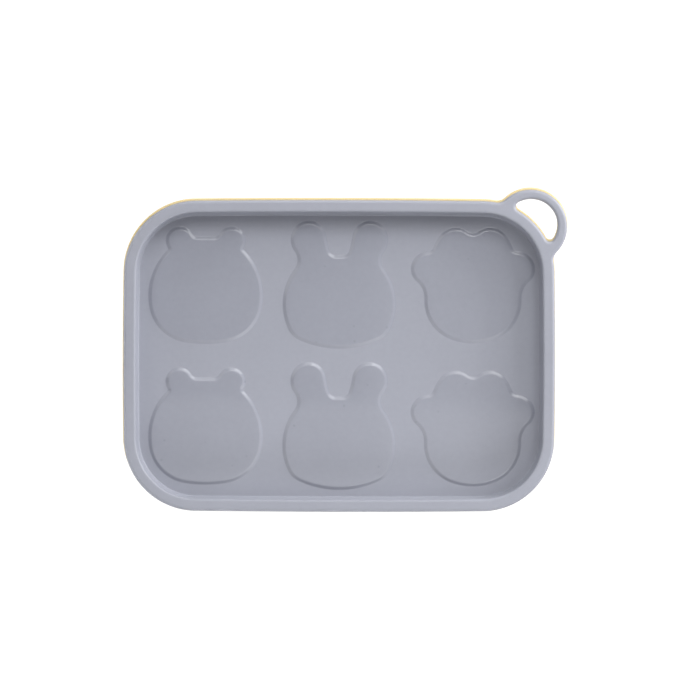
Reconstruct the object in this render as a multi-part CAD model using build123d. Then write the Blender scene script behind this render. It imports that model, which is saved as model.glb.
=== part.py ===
from build123d import *
import math
import os

# Freezer tray for baby food: a six-cup silicone tray and the pan-shaped silicone lid that drops
# into its rim. Millimetres. Z up, z = 0 is the plane that the cup bottoms stand on, and the
# origin is the middle of the footprint (hanging loop included) on that plane. The long side runs
# along X, and the hanging loop is on the +X +Y corner.

# ---------------------------------------------------------------- driving dimensions
LID_W = 200.2            # lid, long side, at mid height of the rim
LID_D = 144.6            # lid, short side
CORNER_R = 33.6          # plan radius of the lid's corners
BOW_R_ENDS = 2500.0      # the two short sides bow out very slightly
BOW_R_LONG = 6000.0      # and so do the two long ones
TRAY_GROW = 0.3          # the tray's rim stands this much outside the lid's, all round

TRAY_C = (-2.77, -2.24)  # middle of the tray's rim outline, seen from the origin
LID_SHIFT = (0.1, -0.8)  # the lid lies this much off the tray's middle

# hanging loop, measured from the middle of the rim outline
LOOP_C = (88.66, 60.31)  # centre of the loop's outer edge
LOOP_R = 16.98           # outer radius
LOOP_HOLE_C = (88.9, 60.7)
LOOP_HOLE_R = 12.3       # radius of the outer side of the loop's hole
LOOP_BLEND_R = 5.5       # where the loop runs into the rim
LOOP_TIP_R = 2.3         # the hole's end on the long side
LOOP_END_R = 2.1         # the hole's end on the short side

# heights
CUP_FLOOR_T = 2.0        # cup bottom
DECK_TOP = 27.0          # upper face of the web between the cups
DECK_T = 2.2
LID_FLOOR_T = 1.8
RECESS_H = 13.0           # depth of the lid's pan
LID_RIM_T = 2.2
TRAY_RIM_T = 2.4
LID_FLOOR_TOP = DECK_TOP + LID_FLOOR_T
LID_TOP = LID_FLOOR_TOP + RECESS_H
RIM_SPLIT = LID_TOP - LID_RIM_T          # lid rim lies on the tray rim here

# lid section, insets measured inwards from the lid's outline
PAN_TOP_INSET = 5.55      # inner wall of the pan at the rim's upper face, before rounding
PAN_LOW_INSET = 6.55      # inner wall of the pan at the floor, before rounding
PAN_DRAFT = math.degrees(math.atan((PAN_LOW_INSET - PAN_TOP_INSET) / RECESS_H))
LID_WALL_T = 1.5         # measured level
LID_EDGE_R = 1.4         # rim, outer upper edge
LID_PAN_TOP_R = 1.1      # rim, inner upper edge
LID_PAN_LOW_R = 0.5      # between wall and floor
LID_UNDER_R = 0.3        # rim, outer lower edge
LID_PAN_OUT_R = 2.0      # under the floor's edge

# tray section
SIDE_PLAY = 0.95         # level gap between the lid's wall and the tray's
TRAY_WALL_T = 1.75
TRAY_EDGE_R = 0.6
TRAY_UNDER_R = 0.9
TRAY_MOUTH_R = 0.6
TRAY_DECK_R = 1.2
TRAY_PAN_OUT_R = 2.6

# animal panels and cups
PITCH_X = 62.2           # between the columns
ROW_LOW_Y = -32.5        # lower row, from the middle of the lid
PANEL_H = 0.6            # height of the panels over the lid's floor
PANEL_EDGE_R = 0.5
CUP_WALL_T = 1.8
CUP_DRAFT = 5.0
CUP_IN_R = 3.0           # inside, round the cup's bottom
CUP_OUT_R = 4.5          # outside, round the cup's bottom
CUP_LIP_R = 0.7
MIN_NOTCH_R = 1.2        # smallest notch radius on the outside of a cup

# Each outline is half of a shape that is symmetric about its own Y axis, walked from the top
# middle clockwise: ("line", length) or (radius, turn in degrees), where a negative turn is a
# notch. The last radius but one turns as far as it needs to meet the last one, which is centred
# on the axis. "top" is the height of the top middle over the shape's own centre, and "row" is
# the distance between the lower and the upper one.
BEAR = dict(top=21.95, row=65.6, close=(19.4, 59.1),
            half=[("line", 4.07), (3.3, -59.5), (6.0, 179.5), (1.6, -75.2), (29.2, 57.0)])
BUNNY = dict(top=13.16, row=65.8, close=(9.8, 44.4),
             half=[(9.4, 7.45), (3.6, -81.4), (61.0, -6.85), (7.6, 128.8), (8.7, 78.8), (7.2, -74.0), (26.6, 63.0)])
PAW = dict(top=22.56, row=66.7, close=(18.7, 28.3),
           half=[(4.8, -37.3), (8.4, 89.1), (21.7, 18.0), (3.0, -65.7), (9.1, 39.0), (7.2, 96.7), (10.6, -52.3)])
COLUMNS = [(-PITCH_X, BEAR), (0.0, BUNNY), (PITCH_X, PAW)]

os.makedirs("parts", exist_ok=True)


# ---------------------------------------------------------------- plan outlines
def walk_half(shape):
    """The half outline as (centre, radius, sign) circles; a line is ("line", p, q)."""
    x, y, h = 0.0, shape["top"], 0.0
    out = []
    for a, b in shape["half"]:
        if a == "line":
            q = (x + b * math.cos(h), y + b * math.sin(h))
            out.append(("line", (x, y), q))
            x, y = q
            continue
        s = 1 if b > 0 else -1
        turn = math.radians(b)
        cx, cy = x + s * a * math.sin(h), y - s * a * math.cos(h)
        rx, ry = x - cx, y - cy
        c, sn = math.cos(-turn), math.sin(-turn)
        x, y = cx + rx * c - ry * sn, cy + rx * sn + ry * c
        h -= turn
        out.append(((cx, cy), a, s))
    r_side, r_end = shape["close"]
    cx, cy = x + r_side * math.sin(h), y - r_side * math.cos(h)
    out.append(((cx, cy), r_side, 1))
    yc = cy + math.sqrt((r_end - r_side) ** 2 - cx ** 2)
    out.append(((0.0, yc), r_end, 1))
    return out


def meet(a, b):
    """Where two tangent neighbours touch; each is (centre, radius, sign) or ("line", p, q)."""
    if a[0] == "line":
        return a[2]
    if b[0] == "line":
        return b[1]
    (c1, r1, s1), (c2, r2, s2) = a, b
    d = math.hypot(c2[0] - c1[0], c2[1] - c1[1])
    ux, uy = (c2[0] - c1[0]) / d, (c2[1] - c1[1]) / d
    k = -r1 if s1 == s2 and r1 < r2 else r1
    return (c1[0] + ux * k, c1[1] + uy * k)


def two_reach(c1, a, c2, b, near):
    """The point at distance a from c1 and b from c2, on the side of near."""
    dx, dy = c2[0] - c1[0], c2[1] - c1[1]
    d = math.hypot(dx, dy)
    t = (a * a - b * b + d * d) / (2 * d)
    k = math.sqrt(a * a - t * t)
    mx, my = c1[0] + dx * t / d, c1[1] + dy * t / d
    both = [(mx - dy * k / d, my + dx * k / d), (mx + dy * k / d, my - dx * k / d)]
    return min(both, key=lambda p: math.hypot(p[0] - near[0], p[1] - near[1]))


def closed_face(items):
    """A face inside tangent circles taken clockwise: sign 1 bulges outwards, -1 inwards."""
    n = len(items)
    cuts = [meet(items[i - 1], items[i]) for i in range(n)]
    edges = []
    for i, it in enumerate(items):
        p, q = cuts[i], cuts[(i + 1) % n]
        if it[0] == "line":
            edges.append(Line(p, q))
            continue
        c, r, s = it
        a0 = math.atan2(p[1] - c[1], p[0] - c[0])
        a1 = math.atan2(q[1] - c[1], q[0] - c[0])
        if s > 0 and a1 > a0:
            a1 -= 2 * math.pi
        if s < 0 and a1 < a0:
            a1 += 2 * math.pi
        am = (a0 + a1) / 2
        edges.append(ThreePointArc(p, (c[0] + r * math.cos(am), c[1] + r * math.sin(am)), q))
    return make_face(edges)


def shape_face(shape, grow=0.0):
    """An animal outline, grown outwards by grow, about its own axis."""
    half = []
    for it in walk_half(shape):
        if it[0] == "line":
            half.append(("line", (-it[2][0], it[2][1] + grow), (it[2][0], it[2][1] + grow)))
        else:
            half.append((it[0], it[1] + it[2] * grow, it[2]))
    for i, it in enumerate(half):
        if it[0] != "line" and it[2] < 0 and it[1] < MIN_NOTCH_R:
            (c1, r1, _), (c2, r2, _) = half[i - 1], half[i + 1]
            half[i] = (two_reach(c1, r1 + MIN_NOTCH_R, c2, r2 + MIN_NOTCH_R, it[0]), MIN_NOTCH_R, -1)
    left = [((-c[0], c[1]), r, s) for c, r, s in half[-2:0:-1]]
    return closed_face(half + left)


def corner_centre(grow=0.0):
    """Centre of the rim's corner arc, which touches both bowed sides from inside."""
    ax, by = LID_W / 2 - BOW_R_ENDS, LID_D / 2 - BOW_R_LONG
    ra, rb = BOW_R_ENDS - CORNER_R, BOW_R_LONG - CORNER_R
    u, v = LID_W / 2 - CORNER_R, LID_D / 2 - CORNER_R
    for _ in range(60):
        u = ax + math.sqrt(ra ** 2 - v ** 2)
        v = by + math.sqrt(rb ** 2 - u ** 2)
    return (u, v)


def rim_items(grow):
    """The rounded rectangle of the rim, clockwise from its +Y side."""
    u, v = corner_centre()
    rc, ra, rb = CORNER_R + grow, BOW_R_ENDS + grow, BOW_R_LONG + grow
    ax, by = LID_W / 2 - BOW_R_ENDS, LID_D / 2 - BOW_R_LONG
    return [((0.0, by), rb, 1), ((u, v), rc, 1), ((ax, 0.0), ra, 1), ((u, -v), rc, 1),
            ((0.0, -by), rb, 1), ((-u, -v), rc, 1), ((-ax, 0.0), ra, 1), ((-u, v), rc, 1)]


def rim_face(grow=0.0):
    return closed_face(rim_items(grow))


def rim_with_loop(grow):
    """Rim outline with the hanging loop, and the outline of the loop's hole."""
    items = rim_items(grow)
    (c, rc, _) = items[1]
    rl, rb = LOOP_R + grow, LOOP_BLEND_R
    b1 = two_reach(c, rc + rb, LOOP_C, rl + rb, (c[0], c[1] + rc))
    b2 = two_reach(c, rc + rb, LOOP_C, rl + rb, (c[0] + rc, c[1]))
    outer = closed_face([items[0], items[1], (b1, rb, -1), (LOOP_C, rl, 1), (b2, rb, -1), items[1]] + items[2:])
    h, rh = LOOP_HOLE_C, LOOP_HOLE_R
    t1 = two_reach(c, rc + LOOP_TIP_R, h, rh - LOOP_TIP_R, (c[0], c[1] + rc))
    t2 = two_reach(c, rc + LOOP_END_R, h, rh - LOOP_END_R, (c[0] + rc, c[1]))
    hole = closed_face([(h, rh, 1), (t2, LOOP_END_R, 1), (c, rc, -1), (t1, LOOP_TIP_R, 1)])
    return outer, hole


def slab(face, z0, z1):
    return extrude(Pos(0, 0, z0) * face, z1 - z0)


def plug(face, z_top, z_low, draft):
    """A plug that hangs from z_top down to z_low and narrows by draft degrees."""
    return extrude(Pos(0, 0, z_top) * face, z_top - z_low, dir=(0, 0, -1), taper=draft)


def edges_at(solid, z, inside=None):
    """Edges lying in the plane z; inside(x, y) can keep some of them."""
    out = []
    for e in solid.edges():
        bb = e.bounding_box()
        if abs(bb.min.Z - z) < 1e-3 and abs(bb.max.Z - z) < 1e-3:
            c = e @ 0.5
            if inside is None or inside(c.X, c.Y):
                out.append(e)
    return out


def near_wall(x, y, low, high):
    """True where a point's inset from the lid's outline is between low and high."""
    u, v = corner_centre()
    if abs(x) > u and abs(y) > v:
        inset = CORNER_R - math.hypot(abs(x) - u, abs(y) - v)
    else:
        inset = min(LID_W / 2 - abs(x), LID_D / 2 - abs(y))
    return low < inset < high


# ---------------------------------------------------------------- tray
def cup_places():
    """Middle of each shape from the middle of the lid, with its outline."""
    for x, shape in COLUMNS:
        for row in (0, 1):
            yield x, ROW_LOW_Y + row * shape["row"], shape


def make_tray():
    play = SIDE_PLAY
    # insets from the lid's outline at the height of the rim's upper face, on the lid's draft
    in_top = PAN_TOP_INSET - LID_WALL_T - play
    slope = math.tan(math.radians(PAN_DRAFT))

    def inset_at(z, extra=0.0):
        return in_top + (LID_TOP - z) * slope + extra

    # pan: outer skin from the rim down to the web's underside
    z_low = DECK_TOP - DECK_T
    body = plug(rim_face(-inset_at(RIM_SPLIT - 1.0, -TRAY_WALL_T)), RIM_SPLIT - 1.0, z_low, PAN_DRAFT)
    body = fillet(edges_at(body, z_low), TRAY_PAN_OUT_R)
    # rim
    outer, hole = rim_with_loop(TRAY_GROW)
    rim = slab(outer, RIM_SPLIT - TRAY_RIM_T, RIM_SPLIT) - slab(hole, RIM_SPLIT - 9, RIM_SPLIT + 9)
    rim = fillet(edges_at(rim, RIM_SPLIT), TRAY_EDGE_R)
    rim = fillet(edges_at(rim, RIM_SPLIT - TRAY_RIM_T), TRAY_UNDER_R)
    body = body + rim
    # cups, outside
    for x, y, shape in cup_places():
        z_in = z_low + 1.0
        grow = CUP_WALL_T - (DECK_TOP - z_in) * math.tan(math.radians(CUP_DRAFT))
        cup = plug(shape_face(shape, grow), z_in, 0.0, CUP_DRAFT)
        cup = fillet(edges_at(cup, 0.0), CUP_OUT_R)
        body = body + Pos(x, y) * cup
    # pan, inside
    pan = plug(rim_face(-inset_at(RIM_SPLIT + 3.0)), RIM_SPLIT + 3.0, DECK_TOP, PAN_DRAFT)
    pan = fillet(edges_at(pan, DECK_TOP), TRAY_DECK_R)
    body = body - pan
    body = fillet(edges_at(body, RIM_SPLIT, lambda x, y: near_wall(x, y, 2.0, 4.5)), TRAY_MOUTH_R)
    # cups, inside
    for x, y, shape in cup_places():
        cup = plug(shape_face(shape), DECK_TOP, CUP_FLOOR_T, CUP_DRAFT)
        cup = fillet(edges_at(cup, CUP_FLOOR_T), CUP_IN_R)
        body = body - Pos(x, y) * cup
    body = fillet(edges_at(body, DECK_TOP, lambda x, y: not near_wall(x, y, 0.0, 7.4)), CUP_LIP_R)
    return body


def make_lid():
    slope = math.tan(math.radians(PAN_DRAFT))
    rim_low = LID_TOP - LID_RIM_T
    # pan, outside
    z0 = LID_TOP - 1.0
    body = plug(rim_face(-(PAN_TOP_INSET - LID_WALL_T + slope)), z0, DECK_TOP, PAN_DRAFT)
    body = fillet(edges_at(body, DECK_TOP), LID_PAN_OUT_R)
    outer, hole = rim_with_loop(0.0)
    rim = slab(outer, rim_low, LID_TOP) - slab(hole, rim_low - 9, LID_TOP + 9)
    rim = fillet(edges_at(rim, LID_TOP), LID_EDGE_R)
    rim = fillet(edges_at(rim, rim_low), LID_UNDER_R)
    body = body + rim
    # pan, inside
    pan = plug(rim_face(-PAN_TOP_INSET), LID_TOP, LID_FLOOR_TOP, PAN_DRAFT)
    pan = fillet(edges_at(pan, LID_FLOOR_TOP), LID_PAN_LOW_R)
    body = body - pan
    body = fillet(edges_at(body, LID_TOP, lambda x, y: near_wall(x, y, 4.0, 6.0)), LID_PAN_TOP_R)
    # animal panels
    for x, y, shape in cup_places():
        panel = slab(shape_face(shape), LID_FLOOR_TOP - 0.9, LID_FLOOR_TOP + PANEL_H)
        panel = fillet(edges_at(panel, LID_FLOOR_TOP + PANEL_H), PANEL_EDGE_R)
        body = body + Pos(x, y) * panel
    return body


def one_solid(part, name):
    solids = part.solids()
    assert len(solids) == 1 and solids[0].is_valid, name
    return solids[0]


# ---------------------------------------------------------------- pieces
tray = one_solid(Pos(*TRAY_C) * make_tray(), "tray")
lid = one_solid(Pos(TRAY_C[0] + LID_SHIFT[0], TRAY_C[1] + LID_SHIFT[1]) * make_lid(), "lid")

export_step(tray, "parts/tray.step")
export_step(lid, "parts/lid.step")

for name, piece in (("tray", tray), ("lid", lid)):
    bb = piece.bounding_box()
    print(name, "volume", round(piece.volume / 1000, 1), "cm3, box",
          [round(v, 2) for v in (bb.min.X, bb.min.Y, bb.min.Z, bb.max.X, bb.max.Y, bb.max.Z)])
for (x, y, shape), label in zip(cup_places(), ("bear", "bear", "bunny", "bunny", "paw", "paw")):
    cup = plug(shape_face(shape), DECK_TOP, CUP_FLOOR_T, CUP_DRAFT)
    print(label, "cup holds about", round(cup.volume / 1000, 1), "ml, middle at",
          round(TRAY_C[0] + x, 2), round(TRAY_C[1] + y, 2))
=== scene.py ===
import math

import bpy
import numpy as np
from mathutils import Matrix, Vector
from mathutils.geometry import delaunay_2d_cdt


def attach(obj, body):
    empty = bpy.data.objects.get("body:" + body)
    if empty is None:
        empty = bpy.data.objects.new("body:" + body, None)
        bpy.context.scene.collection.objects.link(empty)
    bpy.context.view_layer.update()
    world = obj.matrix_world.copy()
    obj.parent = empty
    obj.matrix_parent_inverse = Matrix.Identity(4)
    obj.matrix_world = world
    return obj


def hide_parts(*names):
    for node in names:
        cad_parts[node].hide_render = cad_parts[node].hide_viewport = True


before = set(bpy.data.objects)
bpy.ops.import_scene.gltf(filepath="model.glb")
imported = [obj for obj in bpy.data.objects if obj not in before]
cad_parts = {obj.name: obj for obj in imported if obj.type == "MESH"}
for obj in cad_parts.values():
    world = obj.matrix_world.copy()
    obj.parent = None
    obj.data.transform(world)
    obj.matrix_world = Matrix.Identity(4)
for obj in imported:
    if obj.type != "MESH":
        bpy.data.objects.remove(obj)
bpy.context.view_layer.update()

# A cream silicone tray with six animal cups and a grey silicone lid lying in its rim.
# Lengths below are in millimetres, and meshes are written in metres. Outlines are chains of
# tangent circles, the same ones as the solids, so every ring of a wall is an exact offset.

# ---------------------------------------------------------------- sizes
LID_W, LID_D, CORNER_R = 200.2, 144.6, 33.6
BOW_R_ENDS, BOW_R_LONG = 2500.0, 6000.0
TRAY_GROW = 0.3
TRAY_C = (-2.77, -2.24)
LID_C = (-2.67, -3.04)

LOOP_C, LOOP_R = (88.66, 60.31), 16.98
LOOP_HOLE_C, LOOP_HOLE_R = (88.9, 60.7), 12.3
LOOP_BLEND_R, LOOP_TIP_R, LOOP_END_R = 5.5, 2.3, 2.1

DECK_TOP, DECK_LOW, CUP_FLOOR = 27.0, 24.8, 2.0
LID_FLOOR, PANEL_TOP, LID_TOP = 28.8, 29.4, 41.8
LID_RIM_LOW, TRAY_RIM_LOW = 39.6, 37.2
SLOPE = 1.00 / 13                      # the pan walls' draft, level run over height
CUP_SLOPE = math.tan(math.radians(5.0))

PITCH_X, ROW_LOW_Y = 62.2, -32.5
MIN_NOTCH_R = 1.2
BEAR = dict(top=21.95, row=65.6, close=(19.4, 59.1),
            half=[("line", 4.07), (3.3, -59.5), (6.0, 179.5), (1.6, -75.2), (29.2, 57.0)])
BUNNY = dict(top=13.16, row=65.8, close=(9.8, 44.4),
             half=[(9.4, 7.45), (3.6, -81.4), (61.0, -6.85), (7.6, 128.8), (8.7, 78.8), (7.2, -74.0), (26.6, 63.0)])
PAW = dict(top=22.56, row=66.7, close=(18.7, 28.3),
           half=[(4.8, -37.3), (8.4, 89.1), (21.7, 18.0), (3.0, -65.7), (9.1, 39.0), (7.2, 96.7), (10.6, -52.3)])
COLUMNS = [("bear", -PITCH_X, BEAR), ("bunny", 0.0, BUNNY), ("paw", PITCH_X, PAW)]


# ---------------------------------------------------------------- outlines
def meet(a, b):
    if a[0] == "line":
        return a[2]
    if b[0] == "line":
        return b[1]
    (c1, r1, s1), (c2, r2, s2) = a, b
    d = math.hypot(c2[0] - c1[0], c2[1] - c1[1])
    ux, uy = (c2[0] - c1[0]) / d, (c2[1] - c1[1]) / d
    k = -r1 if s1 == s2 and r1 < r2 else r1
    return (c1[0] + ux * k, c1[1] + uy * k)


def two_reach(c1, a, c2, b, near):
    dx, dy = c2[0] - c1[0], c2[1] - c1[1]
    d = math.hypot(dx, dy)
    t = (a * a - b * b + d * d) / (2 * d)
    k = math.sqrt(a * a - t * t)
    mx, my = c1[0] + dx * t / d, c1[1] + dy * t / d
    both = [(mx - dy * k / d, my + dx * k / d), (mx + dy * k / d, my - dx * k / d)]
    return min(both, key=lambda p: math.hypot(p[0] - near[0], p[1] - near[1]))


def walk_half(shape):
    x, y, h = 0.0, shape["top"], 0.0
    out = []
    for a, b in shape["half"]:
        if a == "line":
            q = (x + b * math.cos(h), y + b * math.sin(h))
            out.append(("line", (x, y), q))
            x, y = q
            continue
        s = 1 if b > 0 else -1
        turn = math.radians(b)
        cx, cy = x + s * a * math.sin(h), y - s * a * math.cos(h)
        rx, ry = x - cx, y - cy
        c, sn = math.cos(-turn), math.sin(-turn)
        x, y = cx + rx * c - ry * sn, cy + rx * sn + ry * c
        h -= turn
        out.append(((cx, cy), a, s))
    r_side, r_end = shape["close"]
    cx, cy = x + r_side * math.sin(h), y - r_side * math.cos(h)
    out.append(((cx, cy), r_side, 1))
    out.append(((0.0, cy + math.sqrt((r_end - r_side) ** 2 - cx ** 2)), r_end, 1))
    return out


def shape_items(shape, grow=0.0):
    half = []
    for it in walk_half(shape):
        if it[0] == "line":
            half.append(("line", (-it[2][0], it[2][1] + grow), (it[2][0], it[2][1] + grow)))
        else:
            half.append((it[0], it[1] + it[2] * grow, it[2]))
    for i, it in enumerate(half):
        if it[0] != "line" and it[2] < 0 and it[1] < MIN_NOTCH_R:
            (c1, r1, _), (c2, r2, _) = half[i - 1], half[i + 1]
            half[i] = (two_reach(c1, r1 + MIN_NOTCH_R, c2, r2 + MIN_NOTCH_R, it[0]), MIN_NOTCH_R, -1)
    left = [((-c[0], c[1]), r, s) for c, r, s in half[-2:0:-1]]
    return half + left


def corner_centre():
    ax, by = LID_W / 2 - BOW_R_ENDS, LID_D / 2 - BOW_R_LONG
    ra, rb = BOW_R_ENDS - CORNER_R, BOW_R_LONG - CORNER_R
    u, v = LID_W / 2 - CORNER_R, LID_D / 2 - CORNER_R
    for _ in range(60):
        u = ax + math.sqrt(ra ** 2 - v ** 2)
        v = by + math.sqrt(rb ** 2 - u ** 2)
    return (u, v)


def rim_items(grow=0.0):
    u, v = corner_centre()
    rc, ra, rb = CORNER_R + grow, BOW_R_ENDS + grow, BOW_R_LONG + grow
    ax, by = LID_W / 2 - BOW_R_ENDS, LID_D / 2 - BOW_R_LONG
    return [((0.0, by), rb, 1), ((u, v), rc, 1), ((ax, 0.0), ra, 1), ((u, -v), rc, 1),
            ((0.0, -by), rb, 1), ((-u, -v), rc, 1), ((-ax, 0.0), ra, 1), ((-u, v), rc, 1)]


def rim_loop_items(grow=0.0):
    items = rim_items(grow)
    (c, rc, _) = items[1]
    rl, rb = LOOP_R + grow, LOOP_BLEND_R
    b1 = two_reach(c, rc + rb, LOOP_C, rl + rb, (c[0], c[1] + rc))
    b2 = two_reach(c, rc + rb, LOOP_C, rl + rb, (c[0] + rc, c[1]))
    return [items[0], items[1], (b1, rb, -1), (LOOP_C, rl, 1), (b2, rb, -1), items[1]] + items[2:]


def hole_items(grow=0.0):
    (c, rc, _) = rim_items(grow)[1]
    h, rh = LOOP_HOLE_C, LOOP_HOLE_R
    t1 = two_reach(c, rc + LOOP_TIP_R, h, rh - LOOP_TIP_R, (c[0], c[1] + rc))
    t2 = two_reach(c, rc + LOOP_END_R, h, rh - LOOP_END_R, (c[0] + rc, c[1]))
    return [(h, rh, 1), (t2, LOOP_END_R, 1), (c, rc, -1), (t1, LOOP_TIP_R, 1)]


def sample(items, step, offset=(0.0, 0.0), turn=5.0):
    """Points round an outline, clockwise, with the outward normal at each."""
    n = len(items)
    cuts = [meet(items[i - 1], items[i]) for i in range(n)]
    pts, nrm = [], []
    for i, it in enumerate(items):
        p, q = cuts[i], cuts[(i + 1) % n]
        if it[0] == "line":
            length = math.hypot(q[0] - p[0], q[1] - p[1])
            k = max(2, math.ceil(length / step))
            nx, ny = -(q[1] - p[1]) / length, (q[0] - p[0]) / length
            for j in range(k):
                pts.append((p[0] + (q[0] - p[0]) * j / k, p[1] + (q[1] - p[1]) * j / k))
                nrm.append((nx, ny))
            continue
        c, r, s = it
        a0 = math.atan2(p[1] - c[1], p[0] - c[0])
        a1 = math.atan2(q[1] - c[1], q[0] - c[0])
        if s > 0 and a1 > a0:
            a1 -= 2 * math.pi
        if s < 0 and a1 < a0:
            a1 += 2 * math.pi
        k = max(2, math.ceil(abs(a1 - a0) * r / step), math.ceil(abs(math.degrees(a1 - a0)) / turn))
        for j in range(k):
            a = a0 + (a1 - a0) * j / k
            pts.append((c[0] + r * math.cos(a), c[1] + r * math.sin(a)))
            nrm.append((s * math.cos(a), s * math.sin(a)))
    return np.array(pts) + np.array(offset), np.array(nrm)


def rounded(points, steps=8):
    """A section (run, height, radius) with its corners rounded, as (run, height)."""
    out = [points[0][:2]]
    for (ax, az, _), (bx, bz, r), (cx, cz, _) in zip(points[:-2], points[1:-1], points[2:]):
        if r <= 0:
            out.append((bx, bz))
            continue
        d1 = np.array([ax - bx, az - bz]); d2 = np.array([cx - bx, cz - bz])
        l1, l2 = np.linalg.norm(d1), np.linalg.norm(d2)
        d1, d2 = d1 / l1, d2 / l2
        half = math.acos(max(-1.0, min(1.0, float(d1 @ d2)))) / 2
        t = r / math.tan(half)
        if t > min(l1, l2) * 1.001:
            raise ValueError(f"radius {r} is too large at {bx, bz}")
        b = np.array([bx, bz])
        mid = (d1 + d2) / np.linalg.norm(d1 + d2)
        centre = b + mid * (r / math.sin(half))
        p, q = b + d1 * t, b + d2 * t
        a0 = math.atan2(*(p - centre)[::-1]); a1 = math.atan2(*(q - centre)[::-1])
        while a1 - a0 > math.pi:
            a1 -= 2 * math.pi
        while a1 - a0 < -math.pi:
            a1 += 2 * math.pi
        for j in range(steps + 1):
            a = a0 + (a1 - a0) * j / steps
            out.append((centre[0] + r * math.cos(a), centre[1] + r * math.sin(a)))
    out.append(points[-1][:2])
    return out


# ---------------------------------------------------------------- mesh building
def inside(loop, pts):
    """Even-odd test of many points against one closed loop."""
    x, y = pts[:, 0], pts[:, 1]
    res = np.zeros(len(pts), bool)
    a = loop
    b = np.roll(loop, -1, axis=0)
    for (x1, y1), (x2, y2) in zip(a, b):
        if y1 == y2:
            continue
        hit = ((y1 > y) != (y2 > y)) & (x < (x2 - x1) * (y - y1) / (y2 - y1) + x1)
        res ^= hit
    return res


def edge_distance(loop, pts, chunk=4000):
    """Distance of each point to a closed loop."""
    a = loop
    d = np.roll(loop, -1, axis=0) - a
    l2 = (d * d).sum(1) + 1e-12
    out = np.empty(len(pts))
    for i in range(0, len(pts), chunk):
        p = pts[i:i + chunk]
        rel = p[:, None, :] - a[None]
        t = np.clip((rel * d[None]).sum(2) / l2[None], 0, 1)
        near = rel - t[:, :, None] * d[None]
        out[i:i + chunk] = np.sqrt((near * near).sum(2).min(1))
    return out


class Shell:
    """Rings, the strips between them and filled regions, as one closed mesh."""

    def __init__(self):
        self.co, self.faces, self.mats = [], [], []
        self.n = 0

    def ring(self, pts, z):
        z = np.broadcast_to(np.asarray(z, float), (len(pts),))
        self.co.append(np.column_stack([pts, z]))
        idx = np.arange(self.n, self.n + len(pts))
        self.n += len(pts)
        return idx

    def strip(self, r1, r2, mat=0):
        k = len(r1)
        for i in range(k):
            j = (i + 1) % k
            self.faces.append((int(r1[i]), int(r1[j]), int(r2[j]), int(r2[i])))
            self.mats.append(mat)

    def sweep(self, base, section, first=None, mat=0, height=None):
        """Rings along a section of (grow, z) on a sampled outline; returns the first and last ring."""
        pts, nrm = base
        rings = []
        for i, (g, z) in enumerate(section):
            if i == 0 and first is not None:
                rings.append(first)
                continue
            p = pts + nrm * g
            rings.append(self.ring(p, z if height is None else height(p, z)))
        for a, b in zip(rings[:-1], rings[1:]):
            self.strip(a, b, mat)
        return rings[0], rings[-1]

    def fill(self, outer, holes, spacing, zfun, mat=0, margin=0.55):
        """Fills between closed rings, with points inside at this spacing, at zfun(points)."""
        co = np.vstack(self.co)
        loops = [outer] + list(holes)
        flat = [co[r][:, :2] for r in loops]
        lo, hi = flat[0].min(0), flat[0].max(0)
        inner = np.empty((0, 2))
        if spacing:
            xs = np.arange(lo[0], hi[0], spacing)
            ys = np.arange(lo[1], hi[1], spacing * 0.866)
            gx, gy = np.meshgrid(xs, ys)
            gx = gx + (np.arange(len(ys)) % 2)[:, None] * spacing / 2
            inner = np.column_stack([gx.ravel(), gy.ravel()])
            keep = inside(flat[0], inner)
            for h in flat[1:]:
                keep &= ~inside(h, inner)
            inner = inner[keep]
            near = np.full(len(inner), 1e9)
            for h in flat:
                near = np.minimum(near, edge_distance(h, inner))
            inner = inner[near > spacing * margin]
        verts, edges, back = [], [], []
        for r, p in zip(loops, flat):
            s = len(verts)
            verts += [Vector(v) for v in p.tolist()]
            back += [int(i) for i in r]
            k = len(r)
            edges += [(s + i, s + (i + 1) % k) for i in range(k)]
        if len(inner):
            idx = self.ring(inner, zfun(inner))
            verts += [Vector(v) for v in inner.tolist()]
            back += [int(i) for i in idx]
        ov, oe, of, orig, _, _ = delaunay_2d_cdt(verts, edges, [], 0, 1e-7)
        cen = np.array([[(ov[a].x + ov[b].x + ov[c].x) / 3, (ov[a].y + ov[b].y + ov[c].y) / 3] for a, b, c in of])
        keep = inside(flat[0], cen)
        for h in flat[1:]:
            keep &= ~inside(h, cen)
        for ok, tri in zip(keep, of):
            if ok:
                self.faces.append(tuple(back[orig[v][0]] for v in tri))
                self.mats.append(mat)

    def build(self, name, materials):
        co = np.vstack(self.co) * 0.001
        mesh = bpy.data.meshes.new(name)
        mesh.from_pydata(co.tolist(), [], self.faces)
        for m in materials:
            mesh.materials.append(m)
        mesh.polygons.foreach_set("material_index", self.mats)
        mesh.polygons.foreach_set("use_smooth", [True] * len(self.faces))
        mesh.validate()
        import bmesh
        bm = bmesh.new()
        bm.from_mesh(mesh)
        bmesh.ops.recalc_face_normals(bm, faces=bm.faces)
        open_edges = sum(1 for e in bm.edges if len(e.link_faces) != 2)
        bm.to_mesh(mesh)
        bm.free()
        mesh.update()
        obj = bpy.data.objects.new(name, mesh)
        bpy.context.scene.collection.objects.link(obj)
        print(name, "verts", len(mesh.vertices), "faces", len(mesh.polygons), "open edges", open_edges)
        return obj


# ---------------------------------------------------------------- materials
def new_material(name):
    m = bpy.data.materials.new(name)
    m.use_nodes = True
    nt = m.node_tree
    return m, nt, nt.nodes["Principled BSDF"]


def node(nt, kind, x=0, y=0, **values):
    n = nt.nodes.new(kind)
    n.location = (x, y)
    for k, v in values.items():
        setattr(n, k, v)
    return n


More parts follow.
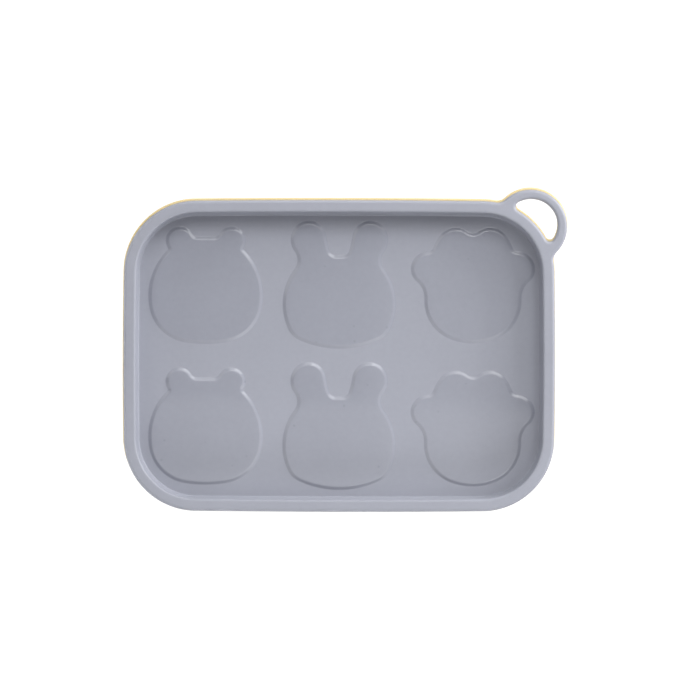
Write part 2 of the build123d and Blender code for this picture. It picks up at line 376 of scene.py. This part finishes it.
def silicone(name, colour, rough, bump=0.35, grain=2600.0, spread=0.03, level=0.5, skin=0.0, glow=(1, 1, 1), specks=0.0, graze=0.0):
    """Moulded silicone: a very slightly uneven tone, a fine spark-eroded grain and a soft long wave."""
    m, nt, bsdf = new_material(name)
    tex = node(nt, "ShaderNodeTexCoord", -1300, 0)
    cloud = node(nt, "ShaderNodeTexNoise", -1050, 250)
    cloud.inputs["Scale"].default_value = 28.0
    cloud.inputs["Detail"].default_value = 3.0
    fine = node(nt, "ShaderNodeTexNoise", -1050, 0)
    fine.inputs["Scale"].default_value = 420.0
    fine.inputs["Detail"].default_value = 2.0
    nt.links.new(tex.outputs["Object"], cloud.inputs["Vector"])
    nt.links.new(tex.outputs["Object"], fine.inputs["Vector"])
    mix = node(nt, "ShaderNodeMath", -850, 150, operation="ADD")
    nt.links.new(cloud.outputs["Fac"], mix.inputs[0])
    nt.links.new(fine.outputs["Fac"], mix.inputs[1])
    ramp = node(nt, "ShaderNodeMapRange", -650, 150)
    ramp.inputs["From Min"].default_value = 0.6
    ramp.inputs["From Max"].default_value = 1.4
    ramp.inputs["To Min"].default_value = 1.0 - spread
    ramp.inputs["To Max"].default_value = 1.0 + spread
    nt.links.new(mix.outputs[0], ramp.inputs["Value"])
    tint = node(nt, "ShaderNodeVectorMath", -430, 200, operation="SCALE")
    tint.inputs[0].default_value = colour
    if specks:
        cells = node(nt, "ShaderNodeTexVoronoi", -1050, 500)
        cells.inputs["Scale"].default_value = 120.0
        cells.inputs["Randomness"].default_value = 1.0
        nt.links.new(tex.outputs["Object"], cells.inputs["Vector"])
        dot = node(nt, "ShaderNodeMapRange", -850, 500)
        dot.inputs["From Min"].default_value = 0.03
        dot.inputs["From Max"].default_value = 0.10
        dot.inputs["To Min"].default_value = 1.0 - specks
        dot.inputs["To Max"].default_value = 1.0
        nt.links.new(cells.outputs["Distance"], dot.inputs["Value"])
        both = node(nt, "ShaderNodeMath", -640, 350, operation="MULTIPLY")
        nt.links.new(ramp.outputs["Result"], both.inputs[0])
        nt.links.new(dot.outputs["Result"], both.inputs[1])
        nt.links.new(both.outputs[0], tint.inputs["Scale"])
    else:
        nt.links.new(ramp.outputs["Result"], tint.inputs["Scale"])
    nt.links.new(tint.outputs["Vector"], bsdf.inputs["Base Color"])
    rr = node(nt, "ShaderNodeMapRange", -430, 0)
    rr.inputs["From Min"].default_value = 0.3
    rr.inputs["From Max"].default_value = 0.7
    rr.inputs["To Min"].default_value = rough - 0.03
    rr.inputs["To Max"].default_value = rough + 0.03
    nt.links.new(fine.outputs["Fac"], rr.inputs["Value"])
    if graze:
        # the smooth skin still scatters what it mirrors at a flat angle
        side = node(nt, "ShaderNodeLayerWeight", -650, -80)
        side.inputs["Blend"].default_value = 0.5
        more = node(nt, "ShaderNodeMapRange", -430, -80)
        more.inputs["From Min"].default_value = 0.15
        more.inputs["From Max"].default_value = 0.60
        more.inputs["To Min"].default_value = 0.0
        more.inputs["To Max"].default_value = graze
        nt.links.new(side.outputs["Facing"], more.inputs["Value"])
        total = node(nt, "ShaderNodeMath", -230, -40, operation="ADD")
        nt.links.new(rr.outputs["Result"], total.inputs[0])
        nt.links.new(more.outputs["Result"], total.inputs[1])
        nt.links.new(total.outputs[0], bsdf.inputs["Roughness"])
    else:
        nt.links.new(rr.outputs["Result"], bsdf.inputs["Roughness"])
    g1 = node(nt, "ShaderNodeTexNoise", -1050, -250)
    g1.inputs["Scale"].default_value = grain
    g1.inputs["Detail"].default_value = 1.0
    g2 = node(nt, "ShaderNodeTexNoise", -1050, -500)
    g2.inputs["Scale"].default_value = 60.0
    g2.inputs["Detail"].default_value = 1.0
    nt.links.new(tex.outputs["Object"], g1.inputs["Vector"])
    nt.links.new(tex.outputs["Object"], g2.inputs["Vector"])
    b1 = node(nt, "ShaderNodeBump", -430, -250)
    b1.inputs["Strength"].default_value = bump
    b1.inputs["Distance"].default_value = 0.00003
    nt.links.new(g1.outputs["Fac"], b1.inputs["Height"])
    b2 = node(nt, "ShaderNodeBump", -230, -250)
    b2.inputs["Strength"].default_value = 0.5
    b2.inputs["Distance"].default_value = 0.0001
    nt.links.new(g2.outputs["Fac"], b2.inputs["Height"])
    nt.links.new(b1.outputs["Normal"], b2.inputs["Normal"])
    nt.links.new(b2.outputs["Normal"], bsdf.inputs["Normal"])
    bsdf.inputs["Specular IOR Level"].default_value = level
    bsdf.inputs["IOR"].default_value = 1.42
    if skin:
        bsdf.inputs["Subsurface Weight"].default_value = skin
        bsdf.inputs["Subsurface Scale"].default_value = 0.002
        bsdf.inputs["Subsurface Radius"].default_value = glow
    return m


GREY = (0.282, 0.291, 0.337)
CREAM = (0.62, 0.505, 0.275)
grey_matte = silicone("grey_silicone_matte", GREY, 0.44)
grey_smooth = silicone("grey_silicone_smooth", tuple(0.985 * c for c in GREY), 0.14, bump=0.1, specks=0.11, graze=0.34)
cream = silicone("cream_silicone", CREAM, 0.5, skin=0.2, glow=(1.0, 0.75, 0.4))


# ---------------------------------------------------------------- lid
def cup_places():
    for name, x, shape in COLUMNS:
        for row, label in ((0, "front"), (1, "back")):
            yield f"{name}_{label}", x, ROW_LOW_Y + row * shape["row"], shape


def smooth(t):
    t = np.clip(t, 0, 1)
    return t * t * (3 - 2 * t)


def relief_table():
    """Height of a panel's soft edge against the distance in from its outline, from 0 to 1."""
    d = np.linspace(-RELIEF_OUT, RELIEF_IN, 1200)
    slope = smooth((d + RELIEF_OUT) / RELIEF_OUT)
    fall = 1 - smooth((d - 0.25) / 1.45)
    tail = 0.11 * np.clip(1 - (d - 1.0) / (RELIEF_IN - 1.0), 0, 1) ** 2
    slope = np.where(d > 0.25, np.maximum(fall, tail * smooth((d - 0.25) / 1.2)), slope)
    z = np.concatenate([[0], np.cumsum((slope[1:] + slope[:-1]) / 2)])
    return d, z / z[-1]


RELIEF_OUT, RELIEF_IN = 0.9, 5.2
RELIEF = relief_table()


def relief(d):
    return LID_FLOOR + (PANEL_TOP - LID_FLOOR) * np.interp(d, *RELIEF)


def make_lid():
    s = Shell()
    outer = sample(rim_loop_items(), 1.0, LID_C)
    hole = sample(hole_items(), 0.7, LID_C)
    rim = sample(rim_items(), 1.2, LID_C, turn=2.0)
    # rim: outer edge and the loop's hole, from the underside up to the flat top
    edge = rounded([(-0.5, LID_RIM_LOW, 0), (0.0, LID_RIM_LOW, 0.3), (0.0, LID_TOP, 1.4), (-1.6, LID_TOP, 0)], 9)
    low_o, top_o = s.sweep(outer, edge)
    low_h, top_h = s.sweep(hole, [(-g, z) for g, z in edge])
    # pan, inside: from the flat rim down to the floor
    wall = rounded([(-4.0, LID_TOP, 0), (-5.55, LID_TOP, 1.1), (-6.55, LID_FLOOR, 0.5), (-8.0, LID_FLOOR, 0)], 9)
    rim_in, floor_out = s.sweep(rim, wall)
    s.fill(top_o, [top_h, rim_in], 0, None)
    # pan, outside
    under = rounded([(-4.02, LID_RIM_LOW, 0), (-4.219, LID_RIM_LOW, 0.15), (-5.188, DECK_TOP, 2.0), (-7.69, DECK_TOP, 0)], 7)
    rim_un, pan_low = s.sweep(rim, under)
    s.fill(low_o, [low_h, rim_un], 0, None)
    s.fill(pan_low, [], 6.0, lambda p: np.full(len(p), DECK_TOP))
    # animal panels
    starts = []
    for name, x, y, shape in cup_places():
        base = sample(shape_items(shape), 0.6, (LID_C[0] + x, LID_C[1] + y), turn=4.0)
        steps = [-0.9, -0.75, -0.6]
        first, last = s.sweep(base, [(-d, relief(d)) for d in steps])
        starts.append(first)
        inner = [-0.6, -0.45, -0.3, -0.15, 0.0, 0.15, 0.3, 0.45, 0.6, 0.75, 0.9, 1.05, 1.2, 1.4, 1.6, 1.85, 2.1, 2.4, 2.7, 3.0]
        _, last = s.sweep(base, [(-d, relief(d)) for d in inner], first=last, mat=1)
        s.fill(last, [], 1.0, lambda p, loop=base[0]: relief(edge_distance(loop, p)), mat=1)
    s.fill(floor_out, starts, 2.2, lambda p: np.full(len(p), LID_FLOOR))
    return s.build("lid_silicone", [grey_matte, grey_smooth])


def make_tray():
    s = Shell()
    outer = sample(rim_loop_items(TRAY_GROW), 1.0, TRAY_C)
    hole = sample(hole_items(TRAY_GROW), 0.7, TRAY_C)
    rim = sample(rim_items(), 1.2, TRAY_C, turn=2.0)
    edge = rounded([(-1.3, TRAY_RIM_LOW, 0), (0.0, TRAY_RIM_LOW, 0.9), (0.0, LID_RIM_LOW, 0.6), (-0.8, LID_RIM_LOW, 0)], 7)
    low_o, top_o = s.sweep(outer, edge)
    hedge = rounded([(-1.2, TRAY_RIM_LOW, 0), (0.0, TRAY_RIM_LOW, 0.9), (0.0, LID_RIM_LOW, 0.6), (-0.8, LID_RIM_LOW, 0)], 7)
    low_h, top_h = s.sweep(hole, [(-g, z) for g, z in hedge])
    # pan, inside; insets are from the lid's outline
    in_rim = 3.10 + (LID_TOP - LID_RIM_LOW) * SLOPE
    in_deck = 3.10 + (LID_TOP - DECK_TOP) * SLOPE
    wall = rounded([(-in_rim + 0.65, LID_RIM_LOW, 0), (-in_rim, LID_RIM_LOW, 0.6),
                    (-in_deck, DECK_TOP, 1.2), (-in_deck - 1.3, DECK_TOP, 0)], 7)
    rim_in, deck_out = s.sweep(rim, wall)
    s.fill(top_o, [top_h, rim_in], 0, None)
    # pan, outside
    out_rim = 3.10 + (LID_TOP - TRAY_RIM_LOW) * SLOPE - 1.75
    out_deck = 3.10 + (LID_TOP - DECK_LOW) * SLOPE - 1.75
    under = rounded([(-out_rim + 0.2, TRAY_RIM_LOW, 0), (-out_rim, TRAY_RIM_LOW, 0.15),
                     (-out_deck, DECK_LOW, 2.6), (-out_deck - 2.5, DECK_LOW, 0)], 7)
    rim_un, deck_un = s.sweep(rim, under)
    s.fill(low_o, [low_h, rim_un], 0, None)
    # cups
    mouths, roots = [], []
    for name, x, y, shape in cup_places():
        at = (TRAY_C[0] + x, TRAY_C[1] + y)
        base = sample(shape_items(shape), 0.8, at, turn=5.0)
        low = -(DECK_TOP - CUP_FLOOR) * CUP_SLOPE
        sec = rounded([(0.9, DECK_TOP, 0), (0.0, DECK_TOP, 0.7), (low, CUP_FLOOR, 3.0), (low - 2.9, CUP_FLOOR, 0)], 8)
        mouth, bottom = s.sweep(base, sec)
        mouths.append(mouth)
        s.fill(bottom, [], 2.5, lambda p: np.full(len(p), CUP_FLOOR))
        g0 = 1.8 - (DECK_TOP - DECK_LOW) * CUP_SLOPE
        base = sample(shape_items(shape, g0), 0.9, at, turn=5.0)
        low = -DECK_LOW * CUP_SLOPE
        sec = rounded([(0.5, DECK_LOW, 0), (0.0, DECK_LOW, 0.4), (low, 0.0, 4.2), (low - 4.1, 0.0, 0)], 9)
        root, bottom = s.sweep(base, sec)
        roots.append(root)
        s.fill(bottom, [], 2.5, lambda p: np.zeros(len(p)))
    s.fill(deck_out, mouths, 3.0, lambda p: np.full(len(p), DECK_TOP))
    s.fill(deck_un, roots, 3.0, lambda p: np.full(len(p), DECK_LOW))
    return s.build("tray_silicone", [cream])


lid = make_lid()
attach(lid, "lid")
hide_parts("lid")
tray = make_tray()
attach(tray, "tray")
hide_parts("tray")


# ---------------------------------------------------------------- floor
def make_floor():
    me = bpy.data.meshes.new("floor")
    h = 3.0
    z = -0.0001                        # just under the cup bottoms
    me.from_pydata([(-h, -h, z), (h, -h, z), (h, h, z), (-h, h, z)], [], [(0, 1, 2, 3)])
    m, nt, bsdf = new_material("pale_floor")
    n = node(nt, "ShaderNodeTexNoise", -500, 0)
    n.inputs["Scale"].default_value = 3.0
    r = node(nt, "ShaderNodeMapRange", -300, 0)
    r.inputs["To Min"].default_value = 0.10
    r.inputs["To Max"].default_value = 0.12
    nt.links.new(n.outputs["Fac"], r.inputs["Value"])
    nt.links.new(r.outputs["Result"], bsdf.inputs["Base Color"])
    bsdf.inputs["Roughness"].default_value = 0.9
    bsdf.inputs["Specular IOR Level"].default_value = 0.1
    bsdf.inputs["Emission Color"].default_value = (1, 1, 1, 1)
    bsdf.inputs["Emission Strength"].default_value = FLOOR_GLOW
    me.materials.append(m)
    o = bpy.data.objects.new("floor", me)
    bpy.context.scene.collection.objects.link(o)
    o.visible_glossy = False


FLOOR_GLOW = 1.0
make_floor()

# ---------------------------------------------------------------- camera and light
scene = bpy.context.scene
MM_PER_PX = 0.4637
AIM = (LID_C[0] + (349.5 - 338.7) * MM_PER_PX, LID_C[1] + (355.5 - 349.5) * MM_PER_PX)
DIST = 3.0
CAM_ROLL = 0.0019                  # the tray lies this much askew in the picture
cam_data = bpy.data.cameras.new("camera")
cam = bpy.data.objects.new("camera", cam_data)
scene.collection.objects.link(cam)
cam.location = (AIM[0] * 0.001, AIM[1] * 0.001, LID_TOP * 0.001 + DIST)
cam.rotation_euler = (0, 0, CAM_ROLL)
cam_data.sensor_width = 36.0
cam_data.lens = 36.0 * DIST / (0.7 * MM_PER_PX)
cam_data.clip_end = 20.0
scene.camera = cam


def soft_box(name, azimuth, elevation, width, height, watts, distance=1.0):
    """A rectangular soft box aimed at the tray; azimuth is from +X towards +Y."""
    d = bpy.data.lights.new(name, "AREA")
    d.shape = "RECTANGLE"
    d.size, d.size_y = width, height
    d.energy = watts
    o = bpy.data.objects.new(name, d)
    scene.collection.objects.link(o)
    a, e = math.radians(azimuth), math.radians(elevation)
    o.location = (distance * math.cos(e) * math.cos(a), distance * math.cos(e) * math.sin(a), distance * math.sin(e) + 0.03)
    o.rotation_euler = (Vector((0, 0, 0.03)) - o.location).to_track_quat("-Z", "Y").to_euler()
    return o


LIGHTS = [
    ("low_right", 30, 14, 8.4),
    ("right", 30, 32, 3.3),
    ("low_right_front", 0, 14, 1.9),
    ("low_back", 90, 14, 2.5),
    ("low_left_back", 150, 14, 2.1),
    ("left_back", 150, 48, 1.05),
    ("low_left_front", 210, 24, 0.9),
    ("left_front", 210, 44, 0.6),
    ("front", 270, 24, 2.75),
    ("front_right", 300, 24, 1.95),
    ("front_right_high", 300, 62, 1.05),
    ("right_back", 60, 48, 2.35),
    ("right_back_high", 60, 62, 1.2),
    ("back", 90, 48, 1.0),
    ("left_back_high", 120, 62, 0.6),
]
for name, azimuth, elevation, watts in LIGHTS:
    soft_box(name, azimuth, elevation, 0.45, 0.30, watts)


def shine_card(name, x, y, z, width, depth, turn, radiance):
    """A level card over the tray that only shows as a reflection; x, y is the middle of its far edge in mm."""
    d = bpy.data.lights.new(name, "AREA")
    d.shape = "RECTANGLE"
    d.size, d.size_y = width, depth
    d.energy = radiance * math.pi * width * depth
    o = bpy.data.objects.new(name, d)
    scene.collection.objects.link(o)
    o.visible_diffuse = False
    o.rotation_euler = (0, 0, turn)
    grow = 1 + z / DIST
    o.location = ((LID_C[0] + x) * 0.001 * grow + math.sin(turn) * depth / 2, (LID_C[1] + y) * 0.001 * grow - math.cos(turn) * depth / 2, LID_TOP * 0.001 + z)
    return o


shine_card("card_near", 0.0, -21.9, 0.04, 0.50, 0.28, math.radians(-2.2), 0.9)
shine_card("card_front", 0.0, -52.0, 0.35, 0.50, 0.25, 0.0, 1.3)
shine_card("card_corner", 72.0, -30.0, 0.35, 0.06, 0.16, 0.0, 1.0)
shine_card("card_right", 64.0, 62.0, 0.35, 0.10, 0.16, 0.0, 0.6)


def low_card(name, azimuth, distance, width, watts):
    """A low white card on the floor beside the tray; it stays under the rim's plane."""
    d = bpy.data.lights.new(name, "AREA")
    d.shape = "RECTANGLE"
    d.size, d.size_y = width, 0.034
    d.energy = watts
    o = bpy.data.objects.new(name, d)
    scene.collection.objects.link(o)
    a = math.radians(azimuth)
    o.location = (distance * math.cos(a), distance * math.sin(a), 0.020)
    o.rotation_euler = (Vector((0, 0, 0.020)) - o.location).to_track_quat("-Z", "Y").to_euler()
    return o


low_card("low_card_left", 180, 0.50, 0.5, 0.95)
low_card("low_card_front", 266, 0.45, 0.45, 0.5)
high = soft_box("back_shine", 88, 70, 0.30, 0.17, 0.95)
high.visible_diffuse = False

# the room is as pale as the floor, and lights nothing itself
world = bpy.data.worlds.new("studio")
scene.world = world
world.use_nodes = True
world.node_tree.nodes["Background"].inputs["Color"].default_value = (1, 1, 1, 1)
world.node_tree.nodes["Background"].inputs["Strength"].default_value = 1.0
world.cycles_visibility.diffuse = False
world.cycles_visibility.glossy = False
world.cycles_visibility.transmission = False
world.cycles_visibility.scatter = False
scene.view_settings.view_transform = "Standard"
scene.view_settings.look = "None"
scene.view_settings.exposure = 0.0
scene.view_settings.gamma = 1.0
